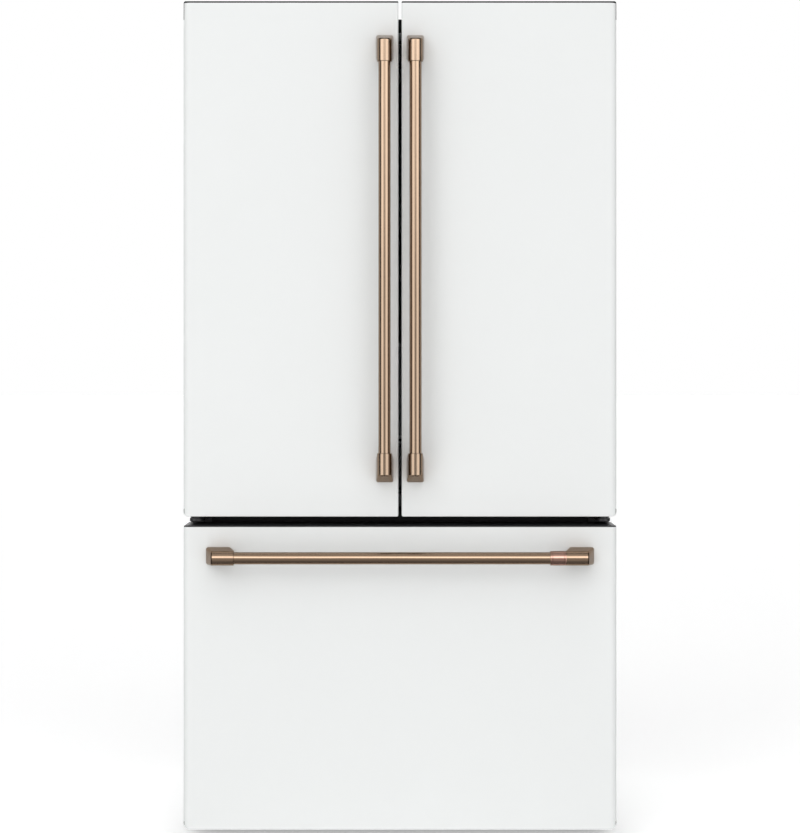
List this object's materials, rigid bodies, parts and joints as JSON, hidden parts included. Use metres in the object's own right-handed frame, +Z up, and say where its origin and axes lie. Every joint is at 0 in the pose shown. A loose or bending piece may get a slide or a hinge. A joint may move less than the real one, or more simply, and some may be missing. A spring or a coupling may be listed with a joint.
{
  "type": "french door refrigerator",
  "caption": "Counter-depth french door refrigerator with a bottom freezer drawer, matte white skins and tubular bronze handles.",
  "frame": {"origin": "on the floor, under the centre of the whole object's box", "axes": "+Z up, the doors face -Y, +X to the viewer's right"},
  "size_m": [0.908, 0.794, 1.765],
  "materials": {
    "white_steel": "matte white paint",
    "galvanised": "galvanised sheet",
    "dark_steel": "satin black paint",
    "foam": "rigid polyurethane foam",
    "inner_plastic": "satin white moulding",
    "dark_plastic": "matte dark moulding",
    "cap_plastic": "matte dark grey moulding",
    "coil_metal": "bare",
    "brass_valve": "machined",
    "shelf_glass": "clear tempered glass",
    "clear_plastic": "clear moulding",
    "seal": "soft grey vinyl",
    "bronze": "brushed bronze plating",
    "basket_plastic": "frosted white moulding"
  },
  "bodies": {
    "cabinet": {"outer_case": "white_steel", "back_panel": "galvanised", "machine_cover": "galvanised", "top_hinges": "galvanised", "slide_rails": "galvanised", "base_frame": "dark_steel", "mid_hinges": "dark_steel", "compressor": "dark_steel", "condenser_fan_motor": "dark_steel", "cabinet_foam": "foam", "fresh_food_liner": "inner_plastic", "freezer_liner": "inner_plastic", "shelf_frames": "inner_plastic", "air_tower": "inner_plastic", "ceiling_panel": "inner_plastic", "evaporator_cover": "inner_plastic", "icemaker": "inner_plastic", "centre_rail": "dark_plastic", "toe_grille": "dark_plastic", "leveling_legs": "dark_plastic", "hinge_covers": "cap_plastic", "condenser_coil": "coil_metal", "evaporator_coil": "coil_metal", "water_valve": "brass_valve", "shelf_glass": "shelf_glass"},
    "door_left": {"door_left_skin": "white_steel", "door_left_foam": "foam", "door_left_liner": "inner_plastic", "door_left_caps": "cap_plastic", "door_left_bins": "clear_plastic", "door_left_gasket": "seal", "door_left_handle_bar": "bronze", "door_left_handle_posts": "bronze"},
    "door_right": {"door_right_skin": "white_steel", "door_right_foam": "foam", "door_right_liner": "inner_plastic", "door_right_caps": "cap_plastic", "door_right_bins": "clear_plastic", "door_right_gasket": "seal", "door_right_handle_bar": "bronze", "door_right_handle_posts": "bronze"},
    "freezer_drawer": {"freezer_skin": "white_steel", "freezer_foam": "foam", "freezer_door_liner": "inner_plastic", "freezer_caps": "cap_plastic", "freezer_gasket": "seal", "freezer_handle_bar": "bronze", "freezer_handle_posts": "bronze", "lower_basket": "basket_plastic"},
    "wheel_left": {"wheel_left": "dark_plastic"},
    "wheel_right": {"wheel_right": "dark_plastic"},
    "condenser_fan": {"condenser_fan": "coil_metal"},
    "evaporator_fan": {"evaporator_fan": "dark_plastic"},
    "crisper_left": {"crisper_left": "clear_plastic"},
    "crisper_right": {"crisper_right": "clear_plastic"},
    "deli_drawer": {"deli_drawer": "clear_plastic"},
    "mullion_flap": {"mullion_flap": "dark_plastic"},
    "dairy_lid": {"dairy_lid": "clear_plastic"},
    "upper_basket": {"upper_basket": "basket_plastic"},
    "slide_middles": {"slide_middles": "galvanised"}
  },
  "joints": [
    {"name": "crisper_left_slide", "type": "slide", "parent": "cabinet", "child": "crisper_left", "axis": [0, -1, 0], "range_m": [0, 0.035]},
    {"name": "crisper_right_slide", "type": "slide", "parent": "cabinet", "child": "crisper_right", "axis": [0, -1, 0], "range_m": [0, 0.035]},
    {"name": "dairy_lid_hinge", "type": "hinge", "parent": "door_right", "child": "dairy_lid", "pos_m": [0.215, -0.226, 1.596], "axis": [1, 0, 0], "range_deg": [0, 55]},
    {"name": "deli_drawer_slide", "type": "slide", "parent": "cabinet", "child": "deli_drawer", "axis": [0, -1, 0], "range_m": [0, 0.035]},
    {"name": "door_left_hinge", "type": "hinge", "parent": "cabinet", "child": "door_left", "pos_m": [-0.43, -0.2835, 1.2], "axis": [0, 0, -1], "range_deg": [0, 120]},
    {"name": "door_right_hinge", "type": "hinge", "parent": "cabinet", "child": "door_right", "pos_m": [0.43, -0.2835, 1.2], "axis": [0, 0, 1], "range_deg": [0, 120]},
    {"name": "freezer_drawer_slide", "type": "slide", "parent": "cabinet", "child": "freezer_drawer", "axis": [0, -1, 0], "range_m": [0, 0.4]},
    {"name": "mullion_flap_hinge", "type": "hinge", "parent": "door_left", "child": "mullion_flap", "pos_m": [-0.036, -0.2083, 1.2], "axis": [0, 0, 1], "range_deg": [-90, 0]},
    {"name": "slide_middles_slide", "type": "slide", "parent": "cabinet", "child": "slide_middles", "axis": [0, -1, 0], "range_m": [0, 0.2]},
    {"name": "upper_basket_slide", "type": "slide", "parent": "cabinet", "child": "upper_basket", "axis": [0, -1, 0], "range_m": [0, 0.4]},
    {"name": "spin_condenser_fan", "type": "hinge", "parent": "cabinet", "child": "condenser_fan", "pos_m": [0.02, 0.297, 0.175], "axis": [1, 0, 0], "continuous": true},
    {"name": "spin_evaporator_fan", "type": "hinge", "parent": "cabinet", "child": "evaporator_fan", "pos_m": [0, 0.305, 0.58], "axis": [0, 1, 0], "continuous": true},
    {"name": "spin_wheel_left", "type": "hinge", "parent": "cabinet", "child": "wheel_left", "pos_m": [-0.392, 0.33, 0.02], "axis": [1, 0, 0], "continuous": true},
    {"name": "spin_wheel_right", "type": "hinge", "parent": "cabinet", "child": "wheel_right", "pos_m": [0.392, 0.33, 0.02], "axis": [1, 0, 0], "continuous": true}
  ],
  "couplings": [
    {"joint": "slide_middles_slide", "follows": "freezer_drawer_slide", "ratio": 0.5},
    {"joint": "upper_basket_slide", "follows": "freezer_drawer_slide", "ratio": 1}
  ]
}
